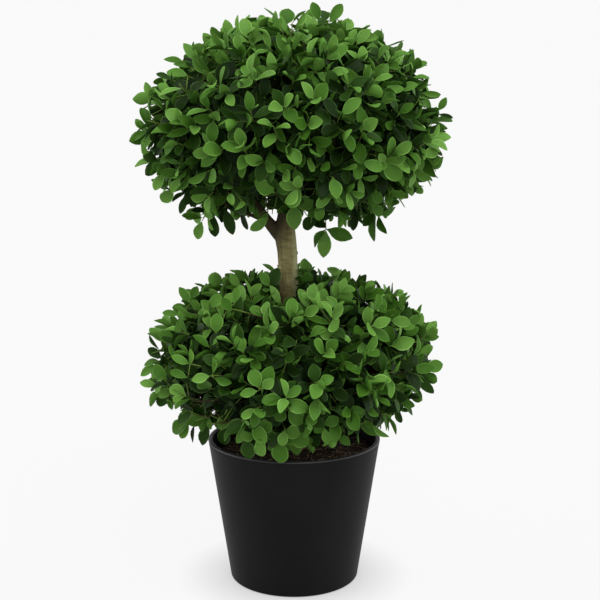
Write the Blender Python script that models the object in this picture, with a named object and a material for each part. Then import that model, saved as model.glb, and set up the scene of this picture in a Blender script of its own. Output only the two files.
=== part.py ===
# Potted ficus topiary: two clipped balls of leaves on one bare stem, in a round black pot.
# Metres, +Z up. The origin is the middle of the pot's underside, and +Y points away from the viewer.

import math
import random

import bmesh
import bpy
from mathutils import Vector
from mathutils.bvhtree import BVHTree

GAP = 0.0003  # left between neighbouring pieces

# The pot is a straight-sided cone with a rounded lip and foot.
POT_HEIGHT = 0.250
RIM_RADIUS = 0.150
FOOT_RADIUS = 0.112
POT_WALL = 0.0075
POT_FLOOR = 0.008
LIP_ROUND = 0.003
FOOT_ROUND = 0.004
POT_SIDES = 56

# The soil fills the pot to a little below its lip.
SOIL_TOP = 0.232
SOIL_EDGE = 0.006  # the soil's rim slopes down over this
FLAT_SOIL = 0.050  # radius of the level patch round the stem

# Limbs are routes of (x, y, z, radius), from the root to the tip.
TRUNK_ROUTE = (
    (0.0020, 0.000, SOIL_TOP + GAP, 0.0270),
    (0.0015, 0.000, 0.250, 0.0205),
    (0.0000, 0.001, 0.300, 0.0180),
    (-0.0050, 0.001, 0.400, 0.0168),
    (-0.0085, 0.000, 0.500, 0.0162),
    (-0.0112, 0.000, 0.570, 0.0168),
    (-0.0150, 0.000, 0.606, 0.0178),
    (-0.0140, 0.000, 0.645, 0.0128),
    (-0.0100, 0.002, 0.700, 0.0110),
    (-0.0060, 0.003, 0.760, 0.0085),
    (-0.0040, 0.002, 0.810, 0.0055),
)
LEFT_BOUGH_ROUTE = (
    (-0.0150, 0.000, 0.592, 0.0120),
    (-0.0310, 0.000, 0.611, 0.0110),
    (-0.0450, -0.001, 0.628, 0.0096),
    (-0.0600, -0.003, 0.648, 0.0086),
    (-0.0750, -0.006, 0.671, 0.0076),
    (-0.0900, -0.009, 0.694, 0.0066),
)
SIDE_BRANCH_ROUTE = (
    (-0.0480, 0.000, 0.628, 0.0042),
    (-0.0680, -0.004, 0.636, 0.0036),
    (-0.0890, -0.010, 0.647, 0.0032),
    (-0.1090, -0.014, 0.655, 0.0029),
    (-0.1270, -0.017, 0.668, 0.0026),
    (-0.1420, -0.020, 0.690, 0.0024),
)
TRUNK_SIDES = 14
BOUGH_SIDES = 12
BRANCH_SIDES = 7
RINGS_A_SPAN = 2  # rings between one route point and the next

# Each ball is an upright spheroid, more pointed on top (crown above 0.5) or fuller (below 0.5).
UPPER_BALL = {
    "centre": (-0.006, 0.0, 0.787),
    "radius": 0.268,
    "rise": 0.200,
    "drop": 0.172,
    "crown": 0.60,
    "base": 0.32,
    "sprays": 64,
    "seed": 11,
}
LOWER_BALL = {
    "centre": (-0.004, 0.0, 0.393),
    "radius": 0.260,
    "rise": 0.165,
    "drop": 0.146,
    "crown": 0.50,
    "base": 0.36,
    "sprays": 52,
    "seed": 23,
}
LEAF_ZONE = 0.056  # depth of the leafy shell round a ball's dense core
CORE_SIDES = 22
CORE_RINGS = 10
CORE_DENT = 0.04  # share by which the core's surface wanders in and out

# Twigs and leaves, larger than life because each leaf stands for a few
LEAF_LENGTH = 0.056
LEAF_TRIES = 9  # ways a leaf is turned to find room before it is left out
LEAF_THICK = 0.035  # of its length
LEAF_OUTLINE = ((0.52, 0.33), (0.97, 0.16))  # along, half width, as shares of the length
LEAF_MIDDLE = 0.55  # where the ridge below is thickest
TWIG_ROOT = 0.0030
TWIG_TIP = 0.0017
SUNK = 0.012  # a twig's root lies this deep in the core
FORK_AT = 0.5  # a side twig leaves its twig here
SIDE_TWIG = 0.042  # and is this long
MAIN_LEAVES = 4
SIDE_LEAVES = 3
FIRST_LEAF = 0.002  # from a twig's tip to its last leaf
LEAF_STEP = 0.006  # and on to the next leaf
LEAF_CLEAR = 0.0015  # between a leaf and a limb, the pot or the soil

# Sprays that hang out of the clipped outline: (x, y, z) of the last leaf joint
UPPER_HANGING = (
    (0.058, -0.030, 0.606),
    (-0.151, -0.030, 0.632),
    (-0.118, -0.050, 0.634),
    (0.137, -0.020, 0.634),
    (-0.040, 0.120, 0.628),
    (0.110, 0.130, 0.632),
)
LOWER_HANGING = (
    (-0.172, -0.030, 0.285),
    (-0.060, -0.165, 0.288),
    (0.040, -0.168, 0.290),
    (0.160, 0.080, 0.288),
    (-0.090, 0.150, 0.286),
)


# Tools for closed meshes

def clear_scene():
    for item in list(bpy.data.objects):
        bpy.data.objects.remove(item)


def make_material(name, colour, roughness):
    material = bpy.data.materials.new(name)
    material.use_nodes = True
    shader = material.node_tree.nodes["Principled BSDF"]
    shader.inputs["Base Color"].default_value = (*colour, 1.0)
    shader.inputs["Roughness"].default_value = roughness
    shader.inputs["Metallic"].default_value = 0.0
    return material


def split_quads(faces):
    """Bent quads as pairs of triangles, so that each face is flat."""
    split = []
    for face in faces:
        if len(face) == 4:
            split += [(face[0], face[1], face[2]), (face[0], face[2], face[3])]
        else:
            split.append(face)
    return split


def make_object(name, points, faces, material=None, collection=None):
    mesh = bpy.data.meshes.new(name)
    mesh.from_pydata([tuple(p) for p in points], [], faces)
    if material:
        mesh.materials.append(material)
    item = bpy.data.objects.new(name, mesh)
    (collection or bpy.context.scene.collection).objects.link(item)
    return item


def shade(item, angle=40.0):
    item.data.shade_smooth()
    item.data.set_sharp_from_angle(angle=math.radians(angle))


def turned(outline, sides):
    """Points and faces of the solid that an outline of (radius, height) makes about Z.
    The outline starts and ends on the axis and runs upward along the outside."""
    points = [Vector((0.0, 0.0, outline[0][1]))]
    inner = outline[1:-1]
    for radius, height in inner:
        for k in range(sides):
            turn = math.tau * k / sides
            points.append(Vector((radius * math.cos(turn), radius * math.sin(turn), height)))
    points.append(Vector((0.0, 0.0, outline[-1][1])))
    top = len(points) - 1
    faces = []
    for k in range(sides):
        after = (k + 1) % sides
        faces.append((0, 1 + after, 1 + k))
        for ring in range(len(inner) - 1):
            low = 1 + ring * sides
            high = low + sides
            faces.append((low + k, low + after, high + after, high + k))
        last = 1 + (len(inner) - 1) * sides
        faces.append((last + k, last + after, top))
    return points, faces


def quarter_round(centre, radius, start, steps=3):
    """Outline points on a quarter circle about centre, from the angle start in degrees."""
    spots = []
    for k in range(steps + 1):
        angle = math.radians(start + 90.0 * k / steps)
        spots.append((centre[0] + radius * math.cos(angle), centre[1] + radius * math.sin(angle)))
    return spots


def cut_by(item, cutter, operation="DIFFERENCE"):
    """Cuts item with the cutter for good, and removes the cutter."""
    tool = item.modifiers.new("cut", "BOOLEAN")
    tool.operation = operation
    tool.solver = "EXACT"
    tool.object = cutter
    apply_modifiers(item)
    bpy.data.objects.remove(cutter)


def apply_modifiers(item):
    bpy.context.view_layer.update()
    solved = item.evaluated_get(bpy.context.evaluated_depsgraph_get())
    mesh = bpy.data.meshes.new_from_object(solved)
    item.modifiers.clear()
    item.data = mesh


def keep_largest_piece(item):
    """Drops loose scraps and the walls of sealed hollows."""
    form = bmesh.new()
    form.from_mesh(item.data)
    waiting = set(form.faces)
    pieces = []
    while waiting:
        front = [waiting.pop()]
        piece = set(front)
        while front:
            for edge in front.pop().edges:
                for face in edge.link_faces:
                    if face in waiting:
                        waiting.remove(face)
                        piece.add(face)
                        front.append(face)
        pieces.append(piece)
    pieces.sort(key=len)
    for piece in pieces[:-1]:
        bmesh.ops.delete(form, geom=list(piece), context="FACES")
    form.to_mesh(item.data)
    form.free()


# Limbs

def smooth_route(route, spans):
    """Catmull-Rom stations along a route, spans of them between neighbouring points."""
    stations = []
    count = len(route)
    for i in range(count - 1):
        before = route[max(i - 1, 0)]
        here = route[i]
        there = route[i + 1]
        after = route[min(i + 2, count - 1)]
        for k in range(spans):
            t = k / spans
            station = []
            for a, b, c, d in zip(before, here, there, after):
                bend = 2 * b + (c - a) * t + (2 * a - 5 * b + 4 * c - d) * t**2
                station.append(0.5 * (bend + (3 * b - a - 3 * c + d) * t**3))
            stations.append(station)
    stations.append(list(route[-1]))
    return stations


def limb_form(route, sides, grow=0.0):
    """Points and faces of a tapering limb. grow makes it fatter and longer, for a cutter."""
    stations = smooth_route(route, RINGS_A_SPAN)
    middles = [Vector(s[:3]) for s in stations]
    points = []
    for i, station in enumerate(stations):
        ahead = (middles[min(i + 1, len(middles) - 1)] - middles[max(i - 1, 0)]).normalized()
        if i == 0 and route is TRUNK_ROUTE:
            ahead = Vector((0.0, 0.0, 1.0))  # the flat cut on the soil
        across = ahead.cross(Vector((0.0, 1.0, 0.0))).normalized()
        other = ahead.cross(across)
        middle = middles[i].copy()
        if i == 0:
            middle -= ahead * grow
        if i == len(stations) - 1:
            middle += ahead * grow
        for k in range(sides):
            turn = math.tau * k / sides
            out = across * math.cos(turn) + other * math.sin(turn)
            points.append(middle + out * (station[3] + grow))
    faces = [tuple(reversed(range(sides)))]
    for i in range(len(stations) - 1):
        for k in range(sides):
            after = (k + 1) % sides
            low = i * sides
            faces.append((low + k, low + after, low + sides + after, low + sides + k))
    faces.append(tuple(range(len(points) - sides, len(points))))
    return points, split_quads(faces)


LIMBS = (
    ("trunk", TRUNK_ROUTE, TRUNK_SIDES),
    ("left_bough", LEFT_BOUGH_ROUTE, BOUGH_SIDES),
    ("side_branch", SIDE_BRANCH_ROUTE, BRANCH_SIDES),
)


def limb_cutter(index):
    name, route, sides = LIMBS[index]
    return make_object(name + "_cutter", *limb_form(route, sides, grow=GAP))


def make_limbs(bark):
    """Each limb is cut clear of the one that carries it."""
    for index, (name, route, sides) in enumerate(LIMBS):
        item = make_object(name, *limb_form(route, sides), material=bark)
        if index:
            cut_by(item, limb_cutter(index - 1))
            keep_largest_piece(item)
        shade(item)


# Pot and soil

def wall_radius(height):
    """Outer radius of the pot at a height."""
    return FOOT_RADIUS + (RIM_RADIUS - FOOT_RADIUS) * height / POT_HEIGHT


def make_pot(plastic):
    outline = [(0.0, 0.0)]
    outline += quarter_round((wall_radius(FOOT_ROUND) - FOOT_ROUND, FOOT_ROUND), FOOT_ROUND, -90)
    outline += quarter_round((RIM_RADIUS - LIP_ROUND, POT_HEIGHT - LIP_ROUND), LIP_ROUND, 0)
    outline += quarter_round(
        (RIM_RADIUS - POT_WALL + LIP_ROUND, POT_HEIGHT - LIP_ROUND), LIP_ROUND, 90
    )
    outline.append((wall_radius(POT_FLOOR) - POT_WALL, POT_FLOOR))
    outline.append((0.0, POT_FLOOR))
    shade(make_object("pot", *turned(outline, POT_SIDES), material=plastic))


def make_soil(compost):
    low = POT_FLOOR + GAP
    edge_height = SOIL_TOP - SOIL_EDGE
    outline = [
        (0.0, low),
        (wall_radius(low) - POT_WALL - GAP, low),
        (wall_radius(edge_height) - POT_WALL - GAP, edge_height),
        (FLAT_SOIL, SOIL_TOP),
        (0.0, SOIL_TOP),
    ]
    shade(make_object("soil", *turned(outline, POT_SIDES), material=compost), 20.0)


# Foliage

def ball_width(ball, height):
    """Radius of the ball's outline at a height above its middle."""
    reach = ball["rise"] if height > 0 else ball["drop"]
    power = ball["crown"] if height > 0 else ball["base"]
    share = height / reach
    if abs(share) >= 1.0:
        return 0.0
    return ball["radius"] * (1.0 - share * share) ** power


def core_of(ball):
    """The outline of a ball's dense core, in the form of a smaller ball."""
    smaller = {name: ball[name] - LEAF_ZONE for name in ("radius", "rise", "drop")}
    return {**ball, **smaller}


def inside_ball(ball, point):
    off = point - Vector(ball["centre"])
    return math.hypot(off.x, off.y) < ball_width(ball, off.z)


def ball_reach(ball, direction):
    """Distance from the ball's middle to its outline along a direction."""
    near, far = 0.0, ball["radius"] + ball["rise"]
    for _ in range(30):
        middle = (near + far) / 2
        if inside_ball(ball, Vector(ball["centre"]) + direction * middle):
            near = middle
        else:
            far = middle
    return near


def spiral_direction(ball, k):
    """The way to the k-th spray, on a spiral that spreads them evenly over the ball."""
    height = 1.0 - 2.0 * (k + 0.5) / ball["sprays"]
    turn = k * math.pi * (3.0 - math.sqrt(5.0))
    flat = math.sqrt(1.0 - height * height) * ball["radius"]
    height *= ball["rise"] if height > 0 else ball["drop"]
    return Vector((flat * math.cos(turn), flat * math.sin(turn), height)).normalized()


def clear_of_pot(point):
    """Whether a point keeps clear of the pot's wall and the soil."""
    flat = math.hypot(point.x, point.y)
    if point.z < SOIL_TOP + LEAF_CLEAR and flat < RIM_RADIUS:
        return False
    beside = wall_radius(min(point.z, POT_HEIGHT)) + LEAF_CLEAR
    inside = RIM_RADIUS - POT_WALL - LEAF_CLEAR
    return point.z > POT_HEIGHT + LEAF_CLEAR or flat < inside or flat > beside


def leaf_form(root, along, face, length):
    """A thin closed leaf, flat above and ridged below, which comes to eight triangles.
    along runs to its tip and face is its upper side."""
    across = along.cross(face).normalized()
    face = across.cross(along).normalized()
    right = []
    left = []
    for share, half in LEAF_OUTLINE:
        middle = root + along * (share * length)
        right.append(middle + across * (half * length))
        left.append(middle - across * (half * length))
    ring = [root, *right, *reversed(left)]
    below = root + along * (LEAF_MIDDLE * length) - face * (LEAF_THICK * length)
    count = len(ring)
    faces = [tuple(range(count))]
    faces += [((k + 1) % count, k, count) for k in range(count)]
    return [*ring, below], faces


def across_way(ahead, roll):
    """A direction square to ahead, turned about it by roll."""
    side = ahead.orthogonal().normalized()
    return side * math.cos(roll) + ahead.cross(side) * math.sin(roll)


def twig_form(start, end, roll):
    """A tapering twig with three sides, the first of which faces the way that roll gives."""
    ahead = (end - start).normalized()
    points = []
    for middle, radius in ((start, TWIG_ROOT), (end, TWIG_TIP)):
        for k in range(3):
            points.append(middle + across_way(ahead, roll + math.tau * (k - 0.5) / 3) * radius)
    return points, split_quads([(2, 1, 0), (3, 4, 5), (0, 1, 4, 3), (1, 2, 5, 4), (2, 0, 3, 5)])


def grow_spray(ball, direction, rng):
    """A twig out of the core towards the outline, and a side twig from it.
    Each is (start, end, roll, leaves, whether it stays inside the outline)."""
    reach = ball_reach(ball, direction)
    centre = Vector(ball["centre"])
    start = centre + direction * (ball_reach(core_of(ball), direction) - SUNK)
    end = centre + direction * (reach - LEAF_LENGTH * rng.uniform(0.50, 0.75))
    fork = start.lerp(end, FORK_AT)
    away = across_way(direction, rng.uniform(0.0, math.tau))
    side_end = fork + (direction * 0.5 + away).normalized() * SIDE_TWIG
    return [
        (start, end, rng.uniform(0.0, math.tau), MAIN_LEAVES, True),
        (fork, side_end, rng.uniform(0.0, math.tau), SIDE_LEAVES, True),
    ]


def grow_hanging(ball, end, rng):
    """A twig from the core to a leaf joint that droops below the clipped outline."""
    end = Vector(end)
    inward = (Vector(ball["centre"]) - end).normalized()
    start = end.copy()
    while not inside_ball(core_of(ball), start):
        start += inward * 0.002
    return start + inward * SUNK, end, rng.uniform(0.0, math.tau), MAIN_LEAVES, False


def tree_of(form):
    return BVHTree.FromPolygons([tuple(p) for p in form[0]], form[1])


def middle_of(form):
    return sum(form[0], Vector()) / len(form[0])


def meets(form, number, placed):
    """Whether a twig or leaf touches a limb, a leaf, or a twig that isn't its own, number."""
    tree = tree_of(form)
    middle = middle_of(form)
    for owner, other_middle, other in placed:
        far = other_middle and (other_middle - middle).length > 2 * LEAF_LENGTH
        if owner != number and not far and tree.overlap(other):
            return True
    return False


def inside_space(ball, form, stay):
    """Whether a leaf is out of the core, clear of the pot and, if it stays, in the outline."""
    core = core_of(ball)
    root = form[0][0]
    for point in form[0]:
        if inside_ball(core, point) or (stay and not inside_ball(ball, point)):
            return False
        if not all(clear_of_pot(root.lerp(point, k / 4)) for k in range(1, 5)):
            return False
    return True


def dress_twig(ball, number, twig, placed, rng):
    """The leaves of one twig, which spiral round it by thirds of a turn, less those with no room."""
    start, end, roll, leaves, stay = twig
    ahead = (end - start).normalized()
    forms = []
    for k in range(leaves):
        joint = end - ahead * (FIRST_LEAF + LEAF_STEP * k)
        for _ in range(LEAF_TRIES):
            spread = math.radians(rng.uniform(44.0, 62.0) + 9.0 * k)
            out = across_way(ahead, roll + math.tau * k / 3 + rng.uniform(-0.3, 0.3))
            along = ahead * math.cos(spread) + out * math.sin(spread)
            face = ahead * math.sin(spread) - out * math.cos(spread)
            form = leaf_form(joint, along, face, LEAF_LENGTH * rng.uniform(0.84, 1.04))
            if inside_space(ball, form, stay) and not meets(form, number, placed):
                forms.append(form)
                placed.append((None, middle_of(form), tree_of(form)))
                break
    return forms


def core_form(ball):
    """The dense inside of a ball as a lumpy turned solid."""
    outline = []
    for k in range(CORE_RINGS + 1):
        tilt = math.pi * (k / CORE_RINGS - 0.5)
        direction = Vector((math.cos(tilt), 0.0, math.sin(tilt)))
        reach = ball_reach(core_of(ball), direction)
        outline.append((reach * math.cos(tilt), reach * math.sin(tilt)))
    points, faces = turned(outline, CORE_SIDES)
    rng = random.Random(ball["seed"] + 1)
    centre = Vector(ball["centre"])
    points = [centre + p * (1.0 + rng.uniform(-CORE_DENT, CORE_DENT)) for p in points]
    return points, split_quads(faces)


def make_foliage(name, ball, hanging, leaf_green):
    core = make_object(name, *core_form(ball), material=leaf_green)
    for index in range(len(LIMBS)):
        cut_by(core, limb_cutter(index))
    keep_largest_piece(core)
    rng = random.Random(ball["seed"])
    limbs = [("limb", None, tree_of(limb_form(*limb[1:], grow=LEAF_CLEAR))) for limb in LIMBS]
    grown = [grow_hanging(ball, end, rng) for end in hanging]
    for k in range(ball["sprays"]):
        grown += grow_spray(ball, spiral_direction(ball, k), rng)
    twigs = [twig for twig in grown if not meets(twig_form(*twig[:3]), None, limbs)]
    forms = [twig_form(*twig[:3]) for twig in twigs]
    placed = limbs + [(k, middle_of(form), tree_of(form)) for k, form in enumerate(forms)]
    for number, twig in enumerate(twigs):
        forms += dress_twig(ball, number, twig, placed, rng)
    growth = bpy.data.collections.new(name + "_growth")
    bpy.context.scene.collection.children.link(growth)
    for k, form in enumerate(forms):
        make_object(f"{name}_growth_{k}", *form, collection=growth)
    fuse = core.modifiers.new("fuse", "BOOLEAN")
    fuse.operation = "UNION"
    fuse.operand_type = "COLLECTION"
    fuse.collection = growth
    fuse.solver = "MANIFOLD"
    apply_modifiers(core)
    for piece in list(growth.objects):
        bpy.data.objects.remove(piece)
    bpy.data.collections.remove(growth)
    keep_largest_piece(core)
    print(name, "twigs", len(twigs), "leaves", len(forms) - len(twigs))


def main():
    clear_scene()
    plastic = make_material("black_plastic", (0.012, 0.012, 0.013), 0.55)
    compost = make_material("dark_compost", (0.020, 0.012, 0.008), 0.95)
    bark = make_material("grey_brown_bark", (0.14, 0.115, 0.075), 0.80)
    leaf_green = make_material("leaf_green", (0.060, 0.170, 0.030), 0.45)
    make_pot(plastic)
    make_soil(compost)
    make_limbs(bark)
    make_foliage("upper_foliage", UPPER_BALL, UPPER_HANGING, leaf_green)
    make_foliage("lower_foliage", LOWER_BALL, LOWER_HANGING, leaf_green)


main()
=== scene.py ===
import math
import random

import bpy
import numpy as np
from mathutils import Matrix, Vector, noise
from mathutils.bvhtree import BVHTree


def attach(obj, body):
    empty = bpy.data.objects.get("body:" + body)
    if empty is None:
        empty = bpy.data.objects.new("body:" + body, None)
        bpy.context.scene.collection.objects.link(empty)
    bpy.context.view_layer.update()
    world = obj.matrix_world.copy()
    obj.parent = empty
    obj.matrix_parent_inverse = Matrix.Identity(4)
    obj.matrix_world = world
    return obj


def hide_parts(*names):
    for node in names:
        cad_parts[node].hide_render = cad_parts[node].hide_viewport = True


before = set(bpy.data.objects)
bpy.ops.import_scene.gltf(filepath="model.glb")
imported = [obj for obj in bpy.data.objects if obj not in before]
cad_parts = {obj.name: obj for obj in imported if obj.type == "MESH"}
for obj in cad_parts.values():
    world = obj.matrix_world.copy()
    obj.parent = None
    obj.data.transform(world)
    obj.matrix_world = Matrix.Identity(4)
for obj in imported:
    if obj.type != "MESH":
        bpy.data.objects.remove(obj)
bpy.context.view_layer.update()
up = Vector((0.0, 0.0, 1.0))
print("frame loaded:", sorted(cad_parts))


# Shader maths as plain expressions

class Value:
    # a node's output that can be added, scaled and so on
    def __init__(self, finish, socket):
        self.finish = finish
        self.socket = socket

    def maths(self, operation, first, second):
        return self.finish.node("ShaderNodeMath", {"operation": operation}, {0: first, 1: second})

    def __add__(self, other):
        return self.maths("ADD", self, other)

    def __radd__(self, other):
        return self.maths("ADD", other, self)

    def __sub__(self, other):
        return self.maths("SUBTRACT", self, other)

    def __rsub__(self, other):
        return self.maths("SUBTRACT", other, self)

    def __mul__(self, other):
        return self.maths("MULTIPLY", self, other)

    def __rmul__(self, other):
        return self.maths("MULTIPLY", other, self)

    def __pow__(self, other):
        return self.maths("POWER", self, other)


class Finish:
    # one material and its nodes
    def __init__(self, name, colour, roughness, **constants):
        self.material = bpy.data.materials.new(name)
        self.material.use_nodes = True
        self.tree = self.material.node_tree
        self.shader = self.tree.nodes["Principled BSDF"]
        self.set("Base Color", colour)
        self.set("Roughness", roughness)
        for socket, value in constants.items():
            self.set(socket, value)

    def feed(self, socket, value):
        if isinstance(value, Value):
            self.tree.links.new(value.socket, socket)
        elif isinstance(value, tuple) and len(value) == 3 and len(socket.default_value) == 4:
            socket.default_value = (*value, 1.0)
        else:
            socket.default_value = value

    def set(self, socket, value):
        self.feed(self.shader.inputs[socket], value)

    def node(self, kind, settings, sockets, output=0):
        made = self.tree.nodes.new(kind)
        for name, value in settings.items():
            if name == "stops":
                setStops(made.color_ramp, value)
            else:
                setattr(made, name, value)
        for name, value in sockets.items():
            self.feed(made.inputs[name], value)
        return Value(self, made.outputs[output])

    def place(self, scale=(1.0, 1.0, 1.0), skew=(0.0, 0.0, 0.0)):
        # object coordinates, stretched and then turned
        spot = self.node("ShaderNodeTexCoord", {}, {}, output=3)
        return self.node("ShaderNodeMapping", {}, {"Vector": spot, "Scale": scale, "Rotation": skew})

    def noise(self, scale, detail=4.0, stretch=(1.0, 1.0, 1.0), roughness=0.5):
        # turned, so that no row of the noise lies along a surface
        sockets = {"Vector": self.place(stretch, skew=(0.61, 0.37, 0.83)), "Scale": scale, "Detail": detail}
        return self.node("ShaderNodeTexNoise", {}, {**sockets, "Roughness": roughness})

    def ramp(self, value, *stops):
        return self.node("ShaderNodeValToRGB", {"stops": stops}, {"Fac": value})

    def mix(self, mask, first, second):
        sockets = {0: mask, 6: first, 7: second}
        return self.node("ShaderNodeMix", {"data_type": "RGBA"}, sockets, output=2)

    def bump(self, height, distance, strength=1.0):
        sockets = {"Height": height, "Distance": distance, "Strength": strength}
        self.set("Normal", self.node("ShaderNodeBump", {}, sockets))


def setStops(ramp, stops):
    # stops are (place, colour or grey)
    while len(ramp.elements) < len(stops):
        ramp.elements.new(0.5)
    for element, (place, shade) in zip(ramp.elements, stops):
        element.position = place
        element.color = (*shade, 1.0) if isinstance(shade, tuple) else (shade, shade, shade, 1.0)


# Meshes

def makePiece(name, points, faces, finishes, picks=None, rims=None, slot=None, stands=()):
    # triangles as arrays; picks says which finish each one takes,
    # and an edge between two rim points stays crisp
    points = np.asarray(points, np.float32)
    faces = np.asarray(faces, np.int32)
    mesh = bpy.data.meshes.new(name)
    mesh.vertices.add(len(points))
    mesh.vertices.foreach_set("co", points.ravel())
    mesh.loops.add(faces.size)
    mesh.loops.foreach_set("vertex_index", faces.ravel())
    mesh.polygons.add(len(faces))
    mesh.polygons.foreach_set("loop_start", np.arange(0, faces.size, 3, dtype=np.int32))
    for finish in finishes:
        mesh.materials.append(finish.material)
    if picks is not None:
        mesh.polygons.foreach_set("material_index", np.asarray(picks, np.int32))
    mesh.polygons.foreach_set("use_smooth", np.ones(len(faces), bool))
    mesh.update(calc_edges=True)
    if rims is not None:
        ends = np.zeros(len(mesh.edges) * 2, np.int32)
        mesh.edges.foreach_get("vertices", ends)
        mesh.edges.foreach_set("use_edge_sharp", rims[ends.reshape(-1, 2)].all(axis=1))
    mesh.validate()
    piece = bpy.data.objects.new(name, mesh)
    bpy.context.scene.collection.objects.link(piece)
    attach(piece, "root")
    if stands:
        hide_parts(*stands)
    print("  ", name, len(faces), "triangles")
    return piece


def smoothRoute(route, spans):
    # Catmull-Rom stations along rows of (x, y, z, radius)
    rows = np.asarray(route, float)
    ends = np.vstack([rows[:1], rows, rows[-1:]])
    stations = []
    for i in range(len(rows) - 1):
        a, b, c, d = ends[i:i + 4]
        for t in np.arange(spans) / spans:
            bend = 2 * b + (c - a) * t + (2 * a - 5 * b + 4 * c - d) * t**2
            stations.append(0.5 * (bend + (3 * b - a - 3 * c + d) * t**3))
    stations.append(rows[-1])
    return np.array(stations)


def ringFaces(base, rings, sides):
    # triangles of a closed form whose points are rings, one after another, and then its two ends
    low = base + np.arange(sides)
    after = base + (np.arange(sides) + 1) % sides
    faces = []
    for step in range(0, (rings - 1) * sides, sides):
        faces.append(np.stack([low + step, after + step, after + step + sides], 1))
        faces.append(np.stack([low + step, after + step + sides, low + step + sides], 1))
    end = base + rings * sides
    top = (rings - 1) * sides
    faces.append(np.stack([np.full(sides, end), after, low], 1))
    faces.append(np.stack([np.full(sides, end + 1), low + top, after + top], 1))
    return faces


class Tubes:
    # many closed tapering tubes gathered into one mesh
    def __init__(self):
        self.points = []
        self.faces = []
        self.count = 0

    def add(self, stations, sides):
        middles = stations[:, :3]
        ahead = np.gradient(middles, axis=0)
        ahead /= np.linalg.norm(ahead, axis=1, keepdims=True)
        across = np.array(Vector(ahead[0]).orthogonal().normalized())
        turns = math.tau * np.arange(sides) / sides
        rings = []
        for middle, way, radius in zip(middles, ahead, stations[:, 3]):
            across = across - way * (across @ way)
            across /= np.linalg.norm(across)
            other = np.cross(way, across)
            ring = np.outer(np.cos(turns), across) + np.outer(np.sin(turns), other)
            rings.append(middle + radius * ring)
        self.points += rings + [middles[:1], middles[-1:]]
        self.faces += ringFaces(self.count, len(rings), sides)
        self.count += len(rings) * sides + 2

    def make(self, name, finishes, **facts):
        return makePiece(name, np.vstack(self.points), np.vstack(self.faces), finishes, **facts)


def turnedForm(outline, sides):
    # points and triangles of a solid turned about Z from (radius, height) rows, axis to axis
    inner = np.asarray(outline[1:-1], float)
    turns = math.tau * np.arange(sides) / sides
    ring = np.stack([np.cos(turns), np.sin(turns)], 1)
    rows = [np.column_stack([ring * radius, np.full(sides, height)]) for radius, height in inner]
    points = np.vstack([*rows, [(0.0, 0.0, outline[0][1])], [(0.0, 0.0, outline[-1][1])]])
    return points, np.vstack(ringFaces(0, len(inner), sides))


def quarterRound(centre, radius, start, steps):
    turns = np.radians(start + 90.0 * np.arange(steps + 1) / steps)
    return [(centre[0] + radius * math.cos(a), centre[1] + radius * math.sin(a)) for a in turns]


# Camera, light and floor

studio = {
    "cameraPlace": (0.0102, -1.933, 0.816),
    "lookDown": 9.53,  # degrees
    "lens": 68.52,
    "surround": 0.95,
    "lamps": {
        "key": {"strength": 2.6, "softness": 40.0, "from": (0.30, -0.70, 1.10)},
        "front": {"strength": 1.2, "softness": 70.0, "from": (0.20, -1.00, 0.10)},
        "fill": {"strength": 0.5, "softness": 80.0, "from": (-0.7, -0.7, 0.6)},
        "left": {"strength": 1.95, "softness": 60.0, "from": (-1.0, 0.10, 0.40)},
        "right": {"strength": 1.65, "softness": 60.0, "from": (1.0, 0.10, 0.40)},
    },
    "floorRadius": 60.0,
    "floorTone": 0.02,
    "floorGlow": 0.908,
    "cornerReach": 0.098,  # spread of the soft shadow round the foot
    "cornerDepth": 0.55,
}


def makeStudio():
    scene = bpy.context.scene
    scene.view_settings.view_transform = "Standard"
    cameraData = bpy.data.cameras.new("camera")
    cameraData.lens = studio["lens"]
    cameraData.sensor_width = 36.0
    cameraData.clip_end = 200.0
    camera = bpy.data.objects.new("camera", cameraData)
    camera.location = studio["cameraPlace"]
    camera.rotation_euler = (math.radians(90.0 - studio["lookDown"]), 0.0, 0.0)
    scene.collection.objects.link(camera)
    scene.camera = camera
    world = bpy.data.worlds.new("white surround")
    world.use_nodes = True
    background = world.node_tree.nodes["Background"]
    tone = studio["surround"]
    background.inputs["Color"].default_value = (tone, tone, tone, 1.0)
    scene.world = world
    for name, wanted in studio["lamps"].items():
        lamp = bpy.data.lights.new(name, "SUN")
        lamp.energy = wanted["strength"]
        lamp.angle = math.radians(wanted["softness"])
        holder = bpy.data.objects.new(name, lamp)
        holder.rotation_euler = Vector(wanted["from"]).to_track_quat("Z", "Y").to_euler()
        scene.collection.objects.link(holder)
    tone = studio["floorTone"]
    paper = Finish("white paper", (tone, tone, tone), 0.9)
    paper.set("Specular IOR Level", 0.0)
    corner = paper.node("ShaderNodeAmbientOcclusion", {}, {"Distance": studio["cornerReach"]}, output=1)
    paper.set("Emission Color", paper.ramp(corner, (0.0, 1.0 - studio["cornerDepth"]), (1.0, 1.0)))
    paper.set("Emission Strength", studio["floorGlow"])
    bpy.ops.mesh.primitive_circle_add(vertices=96, radius=studio["floorRadius"], fill_type="NGON")
    floor = bpy.context.object
    floor.name = "floor"
    floor.location.z = -0.0005
    floor.data.materials.append(paper.material)
    print("studio made")


# Pot

pot = {
    "height": 0.250,
    "rimRadius": 0.150,
    "footRadius": 0.112,
    "wall": 0.0075,
    "base": 0.008,
    "lipRound": 0.003,
    "footRound": 0.004,
    "sides": 192,
    "wallRings": 24,
    "black": (0.0028, 0.0028, 0.0030),
    "worn": (0.0048, 0.0047, 0.0046),
    # the lip is a lighter grey than the wall, a painted highlight along the rounded rim
    "lipHighlightTone": (0.0085, 0.0085, 0.0088),
}


def wallRadius(height):
    return pot["footRadius"] + (pot["rimRadius"] - pot["footRadius"]) * height / pot["height"]


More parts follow.
